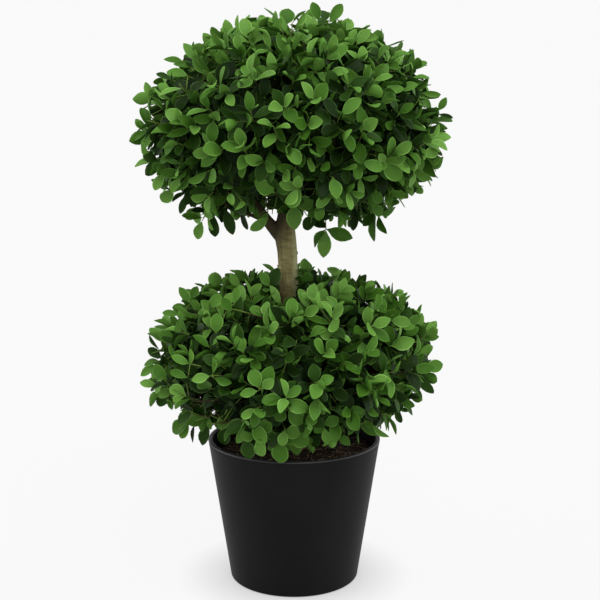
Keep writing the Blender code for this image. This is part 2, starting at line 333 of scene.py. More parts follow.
def lipFinish():
    # the lip's rounded top: its roughness varies at random, and its lighter colour is a painted highlight
    finish = Finish("rubbed plastic lip with painted highlight", pot["lipHighlightTone"], 0.42)
    finish.set("Specular IOR Level", 0.22)
    rub = finish.noise(60.0, detail=4.0)
    finish.set("Roughness", 0.34 + rub * 0.16)
    finish.bump(finish.noise(700.0, detail=2.0), 0.0001, 0.5)
    return finish


def potFinish():
    finish = Finish("black moulded plastic", pot["black"], 0.5)
    finish.set("Specular IOR Level", 0.065)
    clouds = finish.noise(9.0, detail=3.0, stretch=(1.0, 1.0, 0.6))
    grain = finish.noise(900.0, detail=2.0)
    wear = finish.ramp(clouds, (0.35, 0.0), (0.75, 1.0))
    finish.set("Base Color", finish.mix(wear, pot["black"], pot["worn"]))
    finish.set("Roughness", 0.46 + clouds * 0.10)
    finish.bump(grain, 0.00012, 0.5)
    return finish


def makePot():
    steps = 10
    lip = pot["lipRound"]
    foot = pot["footRound"]
    top = pot["height"] - lip
    outline = [(0.0, 0.0), (pot["footRadius"] * 0.5, 0.0)]
    outline += quarterRound((wallRadius(foot) - foot, foot), foot, -90, steps)
    for k in range(1, pot["wallRings"]):
        height = foot + (top - foot) * k / pot["wallRings"]
        outline.append((wallRadius(height), height))
    outline += quarterRound((pot["rimRadius"] - lip, top), lip, 0, steps)
    outline += quarterRound((pot["rimRadius"] - pot["wall"] + lip, top), lip, 90, steps)
    outline.append((wallRadius(pot["base"]) - pot["wall"], pot["base"]))
    outline.append((0.0, pot["base"]))
    points, faces = turnedForm(outline, pot["sides"])
    # the faces of the lip's rounded top take the lip finish with its painted highlight
    picks = points[faces][:, :, 2].min(axis=1) >= top - 0.0001
    finishes = [potFinish(), lipFinish()]
    makePiece("pot_shell", points, faces, finishes, picks, slot="pot_plastic", stands=["pot"])
    print("pot made")


# Soil

soil = {
    "top": 0.232,
    "edgeDrop": 0.006,
    "flat": 0.050,
    "clear": 0.0006,  # from the pot's wall
    "rings": 60,
    "sectors": 200,
    "lumps": 0.0030,
    "crumbs": 700,
    "crumbSize": (0.0007, 0.0022),
    "fibres": 640,
    "redShare": 0.65,
    "tanShare": 0.35,
    "fibreLength": (0.006, 0.022),
    "fibreCurl": 2.2,
    "fibreArch": (0.0003, 0.0028),
    "fibreRadius": 0.00030,
    "fibreSteps": 5,
    "seed": 5,
    "colours": ((0.006, 0.0045, 0.0028), (0.018, 0.012, 0.007), (0.050, 0.034, 0.019)),
    "speck": (0.120, 0.076, 0.042),
    "redFibre": (0.105, 0.055, 0.028),
    "tanFibre": (0.400, 0.275, 0.150),
}


def soilHeight(x, y):
    flat = math.hypot(x, y)
    edge = wallRadius(soil["top"]) - pot["wall"]
    slope = max(0.0, (flat - soil["flat"]) / (edge - soil["flat"]))
    spot = Vector((x, y, 0.3))
    lumps = noise.fractal(spot * 38.0, 0.9, 2.1, 5) * soil["lumps"]
    grit = abs(noise.noise(spot * 420.0)) * 0.0016
    return soil["top"] - soil["edgeDrop"] * slope + (lumps + grit) * min(1.0, 8.0 * (1.02 - flat / edge))


def soilFinish():
    finish = Finish("potting soil", (0.02, 0.012, 0.008), 0.95)
    finish.set("Specular IOR Level", 0.15)
    clumps = finish.noise(55.0, detail=6.0, roughness=0.65)
    specks = finish.noise(700.0, detail=3.0)
    darkest, middle, lightest = soil["colours"]
    colour = finish.ramp(clumps, (0.32, darkest), (0.55, middle), (0.78, lightest))
    dots = finish.ramp(specks, (0.58, 0.0), (0.70, 1.0))
    finish.set("Base Color", finish.mix(dots, colour, soil["speck"]))
    finish.set("Roughness", 0.85 + 0.12 * specks)
    finish.bump(specks * 0.6 + clumps, 0.0009)
    return finish


def makeSoil():
    edge = wallRadius(soil["top"] - soil["edgeDrop"]) - pot["wall"] - soil["clear"]
    low = pot["base"] + soil["clear"]
    rings = soil["rings"]
    sectors = soil["sectors"]
    outline = [(0.0, low), (wallRadius(low) - pot["wall"] - soil["clear"], low)]
    outline += [(edge * (1.0 - k / rings), soil["top"]) for k in range(rings)]
    outline.append((0.0, soil["top"]))
    points, faces = turnedForm(outline, sectors)
    for point in points:
        if point[2] == soil["top"]:
            point[2] = soilHeight(point[0], point[1])
    makePiece("soil_bed", points, faces, [soilFinish()], slot="soil", stands=["soil"])
    rng = random.Random(soil["seed"])
    crumbs = Tubes()
    for _ in range(soil["crumbs"]):
        flat = (edge - 0.004) * math.sqrt(rng.random())
        turn = rng.uniform(0.0, math.tau)
        size = rng.uniform(*soil["crumbSize"])
        x, y = flat * math.cos(turn), flat * math.sin(turn)
        z = soilHeight(x, y) + size * 0.2
        way = Vector((rng.uniform(-1, 1), rng.uniform(-1, 1), rng.uniform(-0.4, 0.4))).normalized() * size
        rows = [
            (x - way.x, y - way.y, z - way.z, size * 0.45),
            (x, y, z, size),
            (x + way.x, y + way.y, z + way.z, size * 0.5),
        ]
        crumbs.add(np.array(rows), 6)
    crumbs.make("soil_crumbs", [soilFinish()], slot="soil")
    fibreKinds = {
        "soil_red_fibres": (Finish("reddish fibre", soil["redFibre"], 0.8), soil["redShare"]),
        "soil_tan_fibres": (Finish("tan fibre", soil["tanFibre"], 0.8), soil["tanShare"]),
    }
    steps = soil["fibreSteps"]
    for name, (finish, part) in fibreKinds.items():
        fibres = Tubes()
        for _ in range(int(soil["fibres"] * part)):
            flat = (edge - 0.012) * math.sqrt(rng.random())
            turn = rng.uniform(0.0, math.tau)
            heading = rng.uniform(0.0, math.tau)
            length = rng.uniform(*soil["fibreLength"])
            curl = rng.uniform(-soil["fibreCurl"], soil["fibreCurl"])
            x, y = flat * math.cos(turn), flat * math.sin(turn)
            arch = rng.uniform(*soil["fibreArch"])
            rows = []
            for k in range(steps + 1):
                share = k / steps
                if math.hypot(x, y) > edge - 0.002:
                    break
                rise = arch * math.sin(math.pi * share)
                radius = soil["fibreRadius"] * (1.2 - share)
                rows.append((x, y, soilHeight(x, y) + rise + 0.0002, radius))
                heading += curl / steps
                x += math.cos(heading) * length / steps
                y += math.sin(heading) * length / steps
            if len(rows) > 2:
                fibres.add(np.array(rows), 4)
        fibres.make(name, [finish], slot="soil")
    print("soil made")


# Bare limbs

limbs = {
    "trunk": (
        (0.0020, 0.000, 0.2303, 0.0270),
        (0.0015, 0.000, 0.250, 0.0205),
        (0.0000, 0.001, 0.300, 0.0180),
        (-0.0050, 0.001, 0.400, 0.0168),
        (-0.0085, 0.000, 0.500, 0.0162),
        (-0.0112, 0.000, 0.570, 0.0168),
        (-0.0150, 0.000, 0.606, 0.0178),
        (-0.0140, 0.000, 0.645, 0.0128),
        (-0.0100, 0.002, 0.700, 0.0110),
        (-0.0060, 0.003, 0.760, 0.0085),
        (-0.0040, 0.002, 0.810, 0.0055),
    ),
    "leftBough": (
        (-0.0150, 0.000, 0.592, 0.0120),
        (-0.0310, 0.000, 0.611, 0.0110),
        (-0.0450, -0.001, 0.628, 0.0096),
        (-0.0600, -0.003, 0.648, 0.0086),
        (-0.0750, -0.006, 0.671, 0.0076),
        (-0.0900, -0.009, 0.694, 0.0066),
    ),
    "sideBranch": (
        (-0.0480, 0.000, 0.628, 0.0042),
        (-0.0680, -0.004, 0.636, 0.0036),
        (-0.0890, -0.010, 0.647, 0.0032),
        (-0.1090, -0.014, 0.655, 0.0029),
        (-0.1270, -0.017, 0.668, 0.0026),
        (-0.1420, -0.020, 0.690, 0.0024),
    ),
}
barkLook = {
    "voxel": 0.0010,
    "streaks": 0.00024,
    "rings": 0.00026,
    "knob": (0.0062, -0.004, 0.5737),
    "knobHeight": 0.0024,
    "knobWidth": 0.0032,
    "pale": (0.236, 0.208, 0.092),
    "mid": (0.151, 0.134, 0.055),
    "dark": (0.076, 0.060, 0.025),
    "shaded": (0.036, 0.028, 0.014),
    "shadeFrom": (-0.021, 0.562),  # x and height where the bark starts to darken to the left and up
    "shadeRise": (-34.0, 15.0),
    # painted light: the lighter olive of the bark's right side, where the light falls
    "litSideColour": (0.325, 0.345, 0.190),
    "litSideFrom": -0.004,  # x where the bark starts to be painted lighter to the right, a painted light from that side
    "litSideRise": 75.0,
}


def barkFinish():
    finish = Finish("grey-brown bark", barkLook["mid"], 0.8)
    finish.set("Specular IOR Level", 0.12)
    streaks = finish.noise(230.0, detail=5.0, stretch=(1.0, 1.0, 0.06), roughness=0.65)
    rings = finish.noise(230.0, detail=4.0, stretch=(0.22, 0.22, 1.0), roughness=0.6)
    blotches = finish.noise(26.0, detail=3.0, stretch=(1.0, 1.0, 0.6))
    specks = finish.noise(520.0, detail=2.0)
    blend = streaks * 0.38 + rings * 0.32 + blotches * 0.30
    colour = finish.ramp(blend, (0.40, barkLook["dark"]), (0.50, barkLook["mid"]), (0.60, barkLook["pale"]))
    pores = finish.ramp(specks, (0.30, 1.0), (0.38, 0.0))
    colour = finish.mix(pores * 0.5, colour, barkLook["dark"])
    spot = finish.place()
    across = finish.node("ShaderNodeSeparateXYZ", {}, {"Vector": spot}, output=0)
    # painted light: the bark turns lighter and more olive towards the right
    litSideMask = (across - barkLook["litSideFrom"]) * barkLook["litSideRise"] + blotches * 0.8 - 0.4
    colour = finish.mix(finish.ramp(litSideMask, (0.0, 0.0), (1.0, 0.65)), colour, barkLook["litSideColour"])
    sideways = across - barkLook["shadeFrom"][0]
    height = finish.node("ShaderNodeSeparateXYZ", {}, {"Vector": spot}, output=2) - barkLook["shadeFrom"][1]
    shade = sideways * barkLook["shadeRise"][0] + height * barkLook["shadeRise"][1] + blotches * 0.5 - 0.25
    shaded = finish.ramp(shade, (0.0, 0.0), (1.0, 1.0))
    finish.set("Base Color", finish.mix(shaded, colour, barkLook["shaded"]))
    finish.set("Roughness", 0.74 + 0.2 * streaks)
    finish.bump(streaks * 0.6 + rings * 0.3 + specks * 0.15, 0.0007, 0.6)
    return finish


def barkRelief(spot):
    grain = Vector((spot.x * 230, spot.y * 230, spot.z * 18))
    streak = noise.fractal(grain, 1.0, 2.0, 2) * barkLook["streaks"]
    band = abs(noise.noise(Vector((spot.x * 14, spot.y * 14, spot.z * 95))))
    ring = -max(0.0, 0.10 - band) * 10.0 * barkLook["rings"]
    off = (spot - Vector(barkLook["knob"])).length / barkLook["knobWidth"]
    return streak + ring + barkLook["knobHeight"] * math.exp(-off * off)


def makeBark():
    tubes = Tubes()
    for route, sides in zip(limbs.values(), (48, 32, 20)):
        tubes.add(smoothRoute(route, 8), sides)
    blank = bpy.data.meshes.new("limb_blank")
    blank.from_pydata(np.vstack(tubes.points).tolist(), [], np.vstack(tubes.faces).tolist())
    rough = bpy.data.objects.new("limb_blank", blank)
    bpy.context.scene.collection.objects.link(rough)
    remesh = rough.modifiers.new("fuse", "REMESH")
    remesh.mode = "VOXEL"
    remesh.voxel_size = barkLook["voxel"]
    ease = rough.modifiers.new("ease", "SMOOTH")
    ease.factor = 0.5
    ease.iterations = 10
    solved = rough.evaluated_get(bpy.context.evaluated_depsgraph_get())
    mesh = bpy.data.meshes.new_from_object(solved)
    bpy.data.objects.remove(rough)
    spots = np.zeros(len(mesh.vertices) * 3, np.float32)
    ways = np.zeros(len(mesh.vertices) * 3, np.float32)
    mesh.vertices.foreach_get("co", spots)
    mesh.vertex_normals.foreach_get("vector", ways)
    spots = spots.reshape(-1, 3)
    relief = np.array([barkRelief(Vector(spot)) for spot in spots])
    spots += ways.reshape(-1, 3) * relief[:, None]
    mesh.vertices.foreach_set("co", spots.ravel())
    mesh.update()
    mesh.shade_smooth()
    mesh.materials.clear()
    mesh.materials.append(barkFinish().material)
    piece = bpy.data.objects.new("bark_limbs", mesh)
    bpy.context.scene.collection.objects.link(piece)
    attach(piece, "root")
    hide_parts("trunk", "left_bough", "side_branch")
    print("bark made,", len(mesh.polygons), "faces")


# Leaves and twigs

leaf = {
    "length": 0.0395,
    "stalk": 0.06,  # share of the length
    "width": (0.43, 0.66),  # shares of the length
    "stations": (0.0, 0.12, 0.27, 0.44, 0.61, 0.78, 0.92, 1.0),
    "across": (-1.0, -0.86, 0.0, 0.86, 1.0),
    "rootShape": 0.92,
    "tipShape": (0.64, 0.95),
    "youth": (0.80, 0.88, 0.94, 0.98),  # sizes of a twig's last leaves
    "thick": 0.0007,
    "groove": 0.00035,
    "bend": (-0.20, 0.60),
    "cup": (0.02, 0.16),
    "twist": 0.35,
    "tries": 7,
}
innerLeaf = {
    **leaf,
    "stations": (0.0, 0.15, 0.42, 0.74, 1.0),
    "across": (-1.0, 0.0, 1.0),
    "width": (0.66, 0.84),
    "tries": 5,
}
shoot = {
    "straight": 0.046,  # the last stretch of a twig
    "firstLeaf": 0.0012,
    "leafStep": 0.0052,
    "turn": math.tau / 3 + 0.30,  # thirds of a turn, with a drift
    "paired": 0.55,  # share of shoots whose leaves stand in crossed pairs
    "opening": (24.0, 50.0),  # degrees from the shoot to its last leaf
    "upright": 10.0,  # how much less on shoots that point up
    "mainLeaves": 8,
    "sideLeaves": 6,
    "sideShoots": 2,
    "sideLength": (0.020, 0.034),
    "twigRadii": (0.0019, 0.0013, 0.0008),  # at its root, its bend and its tip
    "sideRadii": (0.0010, 0.0009, 0.0007),  # the same for a side shoot
    "stalkRadii": (0.0008, 0.0008, 0.0006),  # and for the stalk to a drawn leaf
    "lift": 0.50,  # how far a twig's end turns up to the light
    "droop": 0.25,
    "innerPlaces": (0.30, 0.42, 0.54, 0.66, 0.78),  # along a twig
}
greens = {
    "young": (0.071, 0.160, 0.0245),
    "bright": (0.0505, 0.125, 0.0160),
    "mid": (0.030, 0.083, 0.0078),
    "deep": (0.0122, 0.035, 0.0034),
    "shady": (0.0058, 0.0165, 0.0019),
}
# near-black green of the inner leaves: older leaves, darkened further as painted shade inside the ball
innerGreen = (0.0032, 0.0080, 0.0017)
twigBrown = (0.042, 0.030, 0.017)
shootGreen = (0.075, 0.120, 0.022)
sunlight = {
    "from": 0.20,  # share of the way up a ball's upper half where the sprays turn lighter
    "over": 0.55,
    "sunlitLightest": 0.85,  # share of the lightest sprays on top, a painted light from above
    "light": 0.15,
}
balls = {
    "upper": {
        "centre": (-0.0035, 0.0, 0.787),
        "radius": 0.252,
        "rise": 0.188,
        "drop": 0.163,
        "crown": 0.60,
        "base": 0.32,
        "boughs": 16,
        "sprays": 305,
        "sunny": 1.0,  # how much lighter the top is
        "lightSprays": 0.27,  # share of the sprays that are lighter or darker than the rest, elsewhere
        "darkSprays": 0.30,
        "shade": 0.0,  # how much that share of darker ones grows towards the bottom
        "seed": 15,
        "hanging": ((-0.040, 0.120, 0.628), (0.110, 0.130, 0.632)),
    },
    "lower": {
        "centre": (-0.004, 0.0, 0.384),
        "radius": 0.248,
        "rise": 0.166,
        "drop": 0.136,
        "crown": 0.50,
        "base": 0.58,
        "boughs": 14,
        "sprays": 250,
        "sunny": 0.5,
        "lightSprays": 0.18,
        "darkSprays": 0.32,
        "shade": 0.45,
        "seed": 28,
        "hanging": ((0.160, 0.080, 0.288), (-0.090, 0.150, 0.286)),
    },
}
leafZone = 0.060  # depth of the leafy shell
shells = (0.003, 0.014, 0.026)  # depths at which the leaves turn a shade darker, partly as older leaves and partly as painted shade inside the ball
overhang = 0.026  # how far a leaf's tip may pass a ball's outline
topOverhang = 0.011
innerDepth = 0.016  # the inner leaves stay this far inside

# Sprays that stand out in the front view. A place is a pixel of that view and a depth in metres,
# and a leaf is its root, its tip, how much nearer the tip is, its width as a share of its length,
# its turn in degrees and its green. The greens are partly the leaves' own and partly painted light and
# shade, lighter or darker for how each leaf is lit.
drawnSprays = {
    "upper": (
        {"joint": (326, 229), "depth": -0.030, "leaves": (
            ((326, 229), (353, 238), 0.000, 0.50, 25, "mid"),
            ((326, 230), (323, 258), 0.005, 0.52, 10, "young"),
            ((326, 229), (310, 246), 0.000, 0.42, 35, "mid"),
            ((326, 228), (314, 221), -0.022, 0.60, 20, "deep"),
        )},
        {"joint": (375, 213), "depth": -0.020, "leaves": (
            ((374, 214), (374, 242), 0.005, 0.50, 58, "bright"),
            ((378, 215), (384, 235), 0.010, 0.50, 60, "mid"),
            ((377, 213), (398, 212), -0.010, 0.50, 68, "mid"),
            ((374, 213), (363, 226), 0.010, 0.60, 20, "deep"),
        )},
        {"joint": (357, 207), "depth": -0.030, "leaves": (
            ((356, 207), (352, 231), 0.005, 0.42, 20, "shady"),
            ((358, 208), (361, 226), -0.010, 0.50, 65, "mid"),
        )},
        {"joint": (293, 203), "depth": -0.060, "leaves": (
            ((294, 204), (295, 230), 0.004, 0.64, 5, "young"),
            ((293, 203), (315, 203), 0.010, 0.68, 12, "bright"),
            ((292, 203), (278, 214), 0.010, 0.50, 55, "bright"),
            ((285, 203), (263, 203), -0.010, 0.55, 15, "deep"),
        )},
        {"joint": (322, 214), "depth": -0.030, "leaves": (
            ((319, 216), (301, 228), -0.010, 0.58, 10, "deep"),
        )},
        {"joint": (434, 113), "depth": -0.010, "leaves": (
            ((438, 114), (453, 118), 0.000, 0.34, 15, "deep"),
            ((438, 111), (447, 97), 0.000, 0.50, 10, "mid"),
            ((421, 93), (442, 95), 0.000, 0.30, 20, "bright"),
            ((432, 110), (421, 97), 0.010, 0.52, 15, "mid"),
        )},
        {"joint": (150, 131), "depth": -0.010, "leaves": (
            ((147, 131), (130, 139), 0.000, 0.44, 12, "mid"),
            ((150, 128), (142, 106), 0.002, 0.50, 20, "mid"),
            ((153, 132), (142, 149), 0.006, 0.46, 15, "bright"),
            ((154, 128), (161, 112), 0.010, 0.52, 10, "bright"),
        )},
        {"joint": (206, 214), "depth": -0.028, "leaves": (
            ((203, 218), (182, 214), 0.010, 0.38, 20, "mid"),
            ((202, 221), (196, 240), 0.002, 0.56, 8, "young"),
            ((207, 216), (214, 230), 0.013, 0.50, 60, "young"),
            ((213, 213), (214, 239), -0.005, 0.42, 10, "deep"),
            ((207, 212), (190, 207), -0.002, 0.45, 30, "shady"),
        )},
        {"joint": (226, 206), "depth": -0.015, "leaves": (
            ((224, 208), (221, 223), -0.005, 0.50, 20, "shady"),
            ((225, 208), (233, 235), 0.005, 0.42, 8, "deep"),
            ((240, 207), (248, 230), 0.005, 0.45, 68, "shady"),
        )},
        {"joint": (188, 191), "depth": -0.030, "leaves": (
            ((188, 193), (180, 214), 0.000, 0.36, 15, "deep"),
            ((187, 191), (172, 202), 0.000, 0.40, 30, "deep"),
        )},
        {"joint": (229, 186), "depth": -0.085, "leaves": (
            ((229, 187), (213, 205), 0.010, 0.66, 5, "mid"),
            ((230, 185), (247, 191), 0.010, 0.66, 15, "mid"),
        )},
        {"joint": (252, 201), "depth": -0.036, "leaves": (
            ((251, 202), (252, 214), 0.002, 0.50, 15, "bright"),
            ((253, 203), (258, 220), 0.000, 0.36, 20, "mid"),
        )},
        {"joint": (324, 24), "depth": -0.020, "leaves": (
            ((319, 22), (313, 1), 0.000, 0.50, 10, "mid"),
            ((329, 23), (342, 4), -0.005, 0.50, 15, "bright"),
            ((324, 22), (325, 7), -0.020, 0.60, 20, "deep"),
        )},
        {"joint": (199, 64), "depth": -0.030, "leaves": (
            ((198, 62), (184, 41), 0.000, 0.46, 12, "bright"),
            ((184, 62), (163, 56), 0.000, 0.44, 20, "mid"),
            ((200, 66), (173, 65), 0.004, 0.30, 20, "mid"),
            ((208, 77), (214, 59), 0.008, 0.54, 15, "deep"),
            ((203, 61), (208, 47), 0.000, 0.42, 30, "mid"),
        )},
        {"joint": (196, 87), "depth": -0.055, "leaves": (
            ((194, 88), (173, 84), 0.006, 0.40, 15, "young"),
            ((197, 85), (205, 67), 0.006, 0.44, 15, "young"),
            ((189, 76), (166, 68), 0.002, 0.42, 20, "bright"),
            ((172, 80), (156, 73), -0.004, 0.38, 20, "deep"),
        )},
        {"joint": (281, 23), "depth": -0.020, "leaves": (
            ((280, 21), (264, 7), 0.000, 0.50, 60, "mid"),
            ((285, 26), (289, 6), -0.005, 0.80, 5, "mid"),
            ((284, 26), (290, 38), 0.020, 0.60, 25, "bright"),
        )},
    ),
    "lower": (
        {"joint": (209, 417), "depth": -0.030, "leaves": (
            ((206, 419), (186, 423), 0.010, 0.60, 8, "bright"),
            ((209, 417), (210, 430), 0.008, 0.50, 35, "bright"),
            ((209, 424), (201, 446), 0.000, 0.50, 12, "deep"),
            ((209, 416), (186, 400), 0.010, 0.56, 12, "deep"),
        )},
        {"joint": (190, 421), "depth": -0.028, "leaves": (
            ((189, 422), (179, 439), 0.005, 0.56, 10, "bright"),
            ((189, 421), (171, 432), -0.005, 0.70, 15, "mid"),
            ((194, 424), (194, 443), 0.000, 0.45, 62, "shady"),
        )},
        {"joint": (161, 363), "depth": -0.020, "leaves": (
            ((159, 365), (139, 375), 0.000, 0.42, 20, "bright"),
            ((160, 361), (141, 362), -0.006, 0.44, 30, "mid"),
            ((162, 359), (148, 348), -0.004, 0.56, 15, "deep"),
            ((166, 363), (171, 379), 0.006, 0.50, 25, "bright"),
            ((166, 358), (162, 341), 0.004, 0.40, 60, "bright"),
        )},
        {"joint": (191, 303), "depth": -0.040, "leaves": (
            ((190, 302), (179, 287), 0.000, 0.50, 12, "bright"),
            ((191, 299), (198, 286), -0.004, 0.60, 12, "mid"),
            ((180, 315), (162, 312), 0.000, 0.40, 15, "bright"),
            ((204, 317), (184, 316), 0.004, 0.30, 25, "mid"),
            ((200, 311), (192, 300), 0.006, 0.55, 10, "bright"),
        )},
        {"joint": (228, 308), "depth": -0.155, "leaves": (
            ((232, 311), (221, 298), 0.006, 0.60, 10, "mid"),
            ((235, 303), (237, 287), 0.004, 0.54, 10, "bright"),
            ((211, 307), (221, 294), 0.004, 0.64, 10, "bright"),
            ((216, 334), (217, 314), 0.008, 0.62, 8, "bright"),
        )},
        {"joint": (190, 364), "depth": -0.185, "leaves": (
            ((190, 364), (171, 356), 0.006, 0.45, 15, "bright"),
            ((190, 366), (192, 349), 0.004, 0.42, 58, "young"),
            ((188, 378), (170, 370), 0.002, 0.46, 15, "mid"),
        )},
        {"joint": (212, 376), "depth": -0.205, "leaves": (
            ((210, 376), (191, 380), 0.006, 0.54, 5, "young"),
            ((213, 374), (215, 357), 0.004, 0.38, 45, "bright"),
            ((214, 378), (232, 383), 0.000, 0.50, 20, "mid"),
        )},
        {"joint": (260, 389), "depth": -0.235, "leaves": (
            ((260, 388), (251, 370), 0.010, 0.66, 6, "bright"),
            ((262, 389), (274, 379), 0.012, 0.60, 15, "young"),
            ((258, 391), (239, 394), 0.004, 0.50, 8, "bright"),
            ((263, 387), (272, 366), 0.000, 0.62, 10, "mid"),
        )},
        {"joint": (178, 388), "depth": -0.060, "leaves": (
            ((176, 389), (157, 396), 0.004, 0.50, 10, "young"),
            ((179, 387), (178, 371), 0.008, 0.42, 62, "bright"),
            ((181, 388), (196, 392), 0.000, 0.50, 30, "deep"),
        )},
        {"joint": (230, 416), "depth": -0.060, "leaves": (
            ((229, 416), (218, 429), 0.010, 0.72, 10, "bright"),
            ((229, 425), (220, 446), 0.000, 0.60, 12, "deep"),
            ((231, 423), (225, 442), 0.015, 0.50, 66, "mid"),
            ((229, 408), (243, 423), 0.015, 0.40, 72, "bright"),
            ((226, 412), (213, 399), -0.004, 0.60, 10, "deep"),
            ((233, 412), (246, 398), -0.004, 0.60, 12, "deep"),
        )},
        {"joint": (416, 371), "depth": -0.030, "leaves": (
            ((424, 369), (443, 364), 0.000, 0.68, 8, "bright"),
            ((417, 366), (420, 346), 0.004, 0.48, 20, "mid"),
            ((414, 374), (434, 394), -0.004, 0.36, 20, "deep"),
            ((411, 371), (396, 379), 0.008, 0.56, 10, "bright"),
        )},
        {"joint": (396, 402), "depth": -0.045, "leaves": (
            ((396, 405), (400, 426), -0.002, 0.34, 20, "deep"),
            ((399, 401), (415, 406), 0.002, 0.56, 15, "mid"),
            ((392, 403), (383, 421), 0.006, 0.40, 25, "mid"),
            ((396, 398), (404, 382), 0.006, 0.50, 25, "bright"),
        )},
        {"joint": (258, 435), "depth": -0.165, "leaves": (
            ((257, 434), (241, 434), 0.015, 0.86, 3, "bright"),
            ((260, 432), (271, 421), 0.010, 0.82, 8, "bright"),
            ((260, 436), (261, 459), 0.005, 0.56, 8, "young"),
            ((247, 438), (249, 460), -0.005, 0.64, 12, "deep"),
        )},
        {"joint": (285, 429), "depth": -0.172, "leaves": (
            ((285, 430), (281, 446), 0.012, 0.66, 6, "young"),
            ((286, 430), (299, 434), 0.018, 0.85, 8, "bright"),
            ((281, 440), (279, 465), -0.004, 0.70, 6, "mid"),
            ((288, 433), (309, 444), -0.006, 0.70, 10, "mid"),
            ((283, 434), (263, 446), -0.012, 0.60, 15, "deep"),
        )},
        {"joint": (287, 409), "depth": -0.195, "leaves": (
            ((286, 410), (275, 420), 0.010, 0.88, 5, "mid"),
            ((288, 410), (303, 424), 0.010, 0.80, 5, "bright"),
        )},
        {"joint": (324, 426), "depth": -0.170, "leaves": (
            ((324, 425), (339, 418), 0.005, 0.70, 10, "mid"),
            ((324, 427), (328, 446), 0.002, 0.48, 10, "bright"),
            ((323, 426), (314, 433), 0.008, 0.70, 10, "mid"),
        )},
        {"joint": (337, 430), "depth": -0.110, "leaves": (
            ((338, 434), (350, 445), 0.000, 0.52, 10, "mid"),
            ((320, 434), (311, 448), 0.000, 0.60, 10, "deep"),
        )},
        {"joint": (357, 424), "depth": -0.085, "leaves": (
            ((358, 424), (381, 434), 0.004, 0.42, 15, "mid"),
            ((358, 429), (357, 444), 0.000, 0.50, 72, "mid"),
            ((363, 419), (375, 428), 0.012, 0.45, 30, "bright"),
        )},
    ),
}
# Where the sky shows through: a pixel of the front view, a depth and the gap's radius in metres
skyGaps = {
    "upper": (
        ((180, 194), -0.03, 0.004), ((192, 206), -0.03, 0.003), ((231, 207), -0.02, 0.001),
        ((266, 199), 0.0, 0.005), ((269, 211), 0.0, 0.008), ((274, 217), 0.0, 0.006),
        ((217, 217), -0.02, 0.002), ((314, 189), 0.0, 0.003), ((306, 213), 0.0, 0.003),
        ((150, 178), 0.0, 0.003), ((153, 188), 0.0, 0.003), ((157, 202), 0.0, 0.003),
    ),
    "lower": (
        ((199, 396), -0.03, 0.002), ((213, 411), -0.03, 0.004), ((240, 405), -0.05, 0.003),
        ((147, 392), -0.03, 0.003), ((157, 408), -0.03, 0.005), ((169, 411), -0.03, 0.003),
        ((178, 410), -0.03, 0.002),
    ),
}
# The compost shows between the leaves and the pot's lip at these pixels
openSoil = {
    "pixels": ((312, 456), (325, 455), (338, 451), (350, 447), (360, 441), (368, 435), (352, 437)),
    "depth": -0.10,
    "room": 0.016,
}
# The stem stands free of leaves in front, down to here
bareStem = {
    "pixels": ((288, 262), (288, 272), (288, 282), (289, 291)),
    "depth": -0.018,
    "room": 0.022,
}
bareFork = {
    "pixels": ((284, 248), (282, 239), (277, 229), (271, 220), (266, 212)),
    "depth": -0.004,
    "room": 0.015,
}
# Room kept before a drawn leaf and round a gap
shelter = {"ahead": 0.004, "width": 0.016, "leafHalf": 0.010}


def ballWidth(ball, height):
    reach = ball["rise"] if height > 0 else ball["drop"]
    power = ball["crown"] if height > 0 else ball["base"]
    share = height / reach
    if abs(share) >= 1.0:
        return 0.0
    return ball["radius"] * (1.0 - share * share) ** power


def resized(ball, extra):
    return {**ball, **{name: ball[name] + extra for name in ("radius", "rise", "drop")}}


def insideBall(ball, point):
    x, y, z = ball["centre"]
    return math.hypot(point[0] - x, point[1] - y) < ballWidth(ball, point[2] - z)


def ballReach(ball, direction):
    near, far = 0.0, ball["radius"] + ball["rise"]
    for _ in range(24):
        middle = (near + far) / 2
        if insideBall(ball, Vector(ball["centre"]) + direction * middle):
            near = middle
        else:
            far = middle
    return near


def spiralDirection(ball, k, count):
    height = 1.0 - 2.0 * (k + 0.5) / count
    turn = k * math.pi * (3.0 - math.sqrt(5.0))
    flat = math.sqrt(1.0 - height * height) * ball["radius"]
    height *= ball["rise"] if height > 0 else ball["drop"]
    return Vector((flat * math.cos(turn), flat * math.sin(turn), height)).normalized()


def clearOfPot(point):
    flat = math.hypot(point[0], point[1])
    if point[2] < soil["top"] + 0.002 and flat < pot["rimRadius"]:
        return False
    beside = wallRadius(min(point[2], pot["height"])) + 0.0015
    inside = pot["rimRadius"] - pot["wall"] - 0.0015
    return point[2] > pot["height"] + 0.0015 or flat < inside or flat > beside


def acrossWay(ahead, roll):
    side = ahead.orthogonal().normalized()
    return side * math.cos(roll) + ahead.cross(side) * math.sin(roll)


